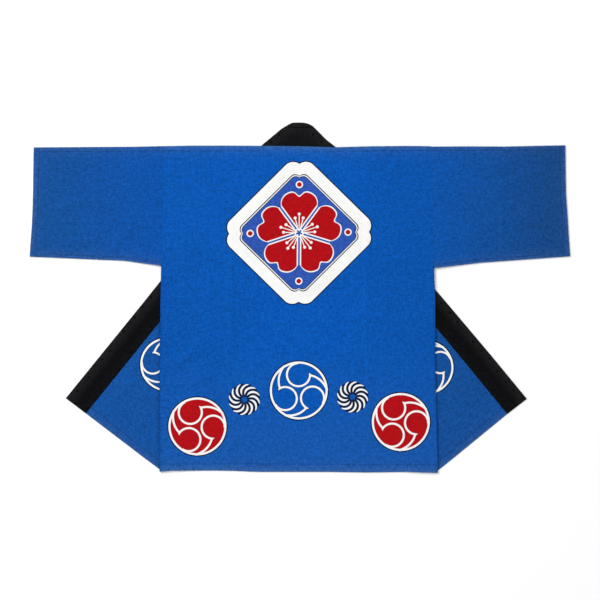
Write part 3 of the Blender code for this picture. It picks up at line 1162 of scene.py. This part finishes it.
BAND_COLUMNS = (0.0, 0.007, 0.02, 0.045, 0.09, 0.16, 0.26, 0.38, 0.5, 0.62, 0.74, 0.84,
                0.91, 0.955, 0.98, 0.993, 1.0)
BAND_WIDTH = 0.0555
BAND_TOP = 0.0023
BAND_DROP = 0.0009
BAND_ROUND = 0.0016
BAND_SEAM = 0.95
BAND_SHARP = math.radians(50.0)
BAND_UNDER = 0.0001
COLLAR_CREASES = (
    (-0.47, -0.236, -0.5, -0.19, 0.003, 0.006, 0.0005),
    (-0.5, -0.226, -0.35, -0.036, 0.006, 0.011, 0.0006),
    (-0.404, -0.124, -0.388, -0.07, 0.003, 0.007, 0.0005),
    (0.486, -0.23, 0.344, -0.046, -0.005, 0.011, 0.0006),
    (0.408, -0.146, 0.44, -0.12, 0.003, 0.006, 0.0005),
    (-0.042, 0.384, -0.024, 0.352, 0.003, 0.006, 0.0005),
    (0.046, 0.372, 0.022, 0.352, -0.003, 0.006, 0.0005),
)


def rung_at(position, reach):
    """The free edge and the seam edge at a distance along the band."""
    walked = 0.0
    for row, after in zip(RUNGS, RUNGS[1:]):
        step = math.dist(row[:2], after[:2])
        if position <= (walked + step) / reach or after is RUNGS[-1]:
            share = min((position * reach - walked) / step, 1.0)
            here = [low + (high - low) * share for low, high in zip(row, after)]
            return Vector(here[:2]), Vector(here[2:])
        walked += step


def collar_piece():
    """The doubled band, closed all round. Its length along the free edge comes back."""
    reach = sum(math.dist(row[:2], after[:2]) for row, after in zip(RUNGS, RUNGS[1:]))
    stations = round(reach / CELL)
    columns = len(BAND_COLUMNS) - 1
    made = bmesh.new()
    bmesh.ops.create_grid(made, x_segments=stations, y_segments=columns, size=0.5)
    cut = made.verts.layers.float_vector.new("cut")
    seam, rim, side = (made.verts.layers.float.new(name) for name in ("seam", "rim", "side"))
    for vert in made.verts:
        along = vert.co.x + 0.5
        across = BAND_COLUMNS[round((0.5 - vert.co.y) * columns)]
        free, sewn = rung_at(along, reach)
        point = free.lerp(sewn, across)
        vert[cut] = (along * reach, -across * BAND_WIDTH, 0.0)
        vert[seam] = (across - BAND_SEAM) * BAND_WIDTH
        end = min(along, 1.0 - along) * reach
        vert[rim] = min(across * BAND_WIDTH, (1.0 - across) * BAND_WIDTH, end)
        vert[side] = FAR
        near_edge = 1.0 - min(vert[rim] / BAND_ROUND, 1.0)
        level = BAND_TOP - BAND_DROP * near_edge * near_edge
        level += crease_height(*point, COLLAR_CREASES) * (1.0 - near_edge)
        vert.co = (*point, level)
    surfaces["collar_band"] = BVHTree.FromBMesh(made)
    grown = bmesh.ops.extrude_face_region(made, geom=made.faces[:])
    for item in grown["geom"]:
        if isinstance(item, bmesh.types.BMVert):
            item.co.z = BAND_UNDER
    bmesh.ops.recalc_face_normals(made, faces=made.faces[:])
    piece = add_piece("collar_band", made, collar_cotton, ("collar",))
    piece.data.set_sharp_from_angle(angle=BAND_SHARP)
    return reach


print("collar:", round(collar_piece(), 3), "m along its free edge")

# %% [markdown]
# Stitches are real little lengths of thread. One stitch is a sphere of few faces, drawn
# out, laid along its line and half sunk into the cloth. A row of them makes a sewn seam.

# %% Stitches
STITCH = 0.0027
PITCH = 0.0036
THREAD = 0.00042
SINK = 0.00004


def add_stitch(made, x, y, level, heading, half_length, half_width, rise=0.7):
    """One stitch, lying along its line."""
    place = Matrix.LocRotScale(Vector((x, y, level)), Matrix.Rotation(heading, 3, "Z"),
                               Vector((half_length, half_width, half_width * rise)))
    bmesh.ops.create_uvsphere(made, u_segments=6, v_segments=4, radius=1.0, matrix=place)


def sew(made, lines, level_at):
    """Rows of stitches along several lines, at the level that a function gives."""
    count = 0
    for start, end in stretches(lines):
        run = (end - start).length
        heading = math.atan2(end.y - start.y, end.x - start.x)
        for i in range(int(run / PITCH)):
            x, y = start.lerp(end, (i + 0.5) * PITCH / run)
            add_stitch(made, x, y, level_at(x, y) + SINK, heading, STITCH / 2.0, THREAD / 2.0)
            count += 1
    return count


made = bmesh.new()
count = sew(made, STITCH_LINES["back"], partial(height_at, surfaces["back_cloth"]))
for side in ("left", "right"):
    surface = surfaces["sleeve_" + side + "_back_cloth"]
    count += sew(made, STITCH_LINES[side], partial(height_at, surface))
add_piece("blue_stitching", made, blue_thread)
print("stitches:", count)

# %% [markdown]
# The turned fronts are sewn along their hems too, one thickness above the skin that was
# shaped. The collar has a row of small tacks just inside its free edge, set unevenly by
# hand, which show as dark dots in the black, and a sewn line across its crown.

# %% Front stitching and collar tacks
# Heading, then places: along the left front, the right front and the neck.
TACKS = (
    (0.92, ((-0.3613, -0.0211), (-0.3821, -0.0454), (-0.4387, -0.1228), (-0.4562, -0.1426),
            (-0.5138, -0.2156), (-0.407, -0.079), (-0.487, -0.183), (-0.344, 0.001))),
    (-0.92, ((0.3273, -0.0124), (0.4001, -0.1029), (0.42, -0.1228), (0.4378, -0.1403),
             (0.4754, -0.1958), (0.493, -0.2133), (0.364, -0.056), (0.347, -0.035),
             (0.456, -0.17))),
    (0.1, ((-0.0483, 0.3759), (-0.0677, 0.3584), (0.0303, 0.3768), (0.0499, 0.3593))),
)
TACK = 0.0056
TACK_WIDTH = 0.0042
TACK_RISE = 0.25
CROWN_LINE = (-0.0205, 0.0245, 0.394)
CROWN_TACKS = 11


def add_tack(made, x, y, heading, width):
    """One flat tack on the collar."""
    level = height_at(surfaces["collar_band"], x, y)
    add_stitch(made, x, y, level, heading, TACK / 2.0, width / 2.0, TACK_RISE)


made = bmesh.new()
for side in ("left", "right"):
    sew(made, STITCH_LINES[side + " front"],
        lambda x, y: TURNED_LEVEL + CLOTH + front_crease(x, y))
add_piece("front_stitching", made, blue_thread)

made = bmesh.new()
for heading, places in TACKS:
    for x, y in places:
        add_tack(made, x, y, heading, TACK_WIDTH)
start, end, y = CROWN_LINE
for i in range(CROWN_TACKS):
    add_tack(made, start + (end - start) * (i + 0.5) / CROWN_TACKS, y, 0.0, TACK_WIDTH / 2.0)
add_piece("collar_tacks", made, black_thread)
print("tacks:", sum(len(places) for _, places in TACKS) + CROWN_TACKS)
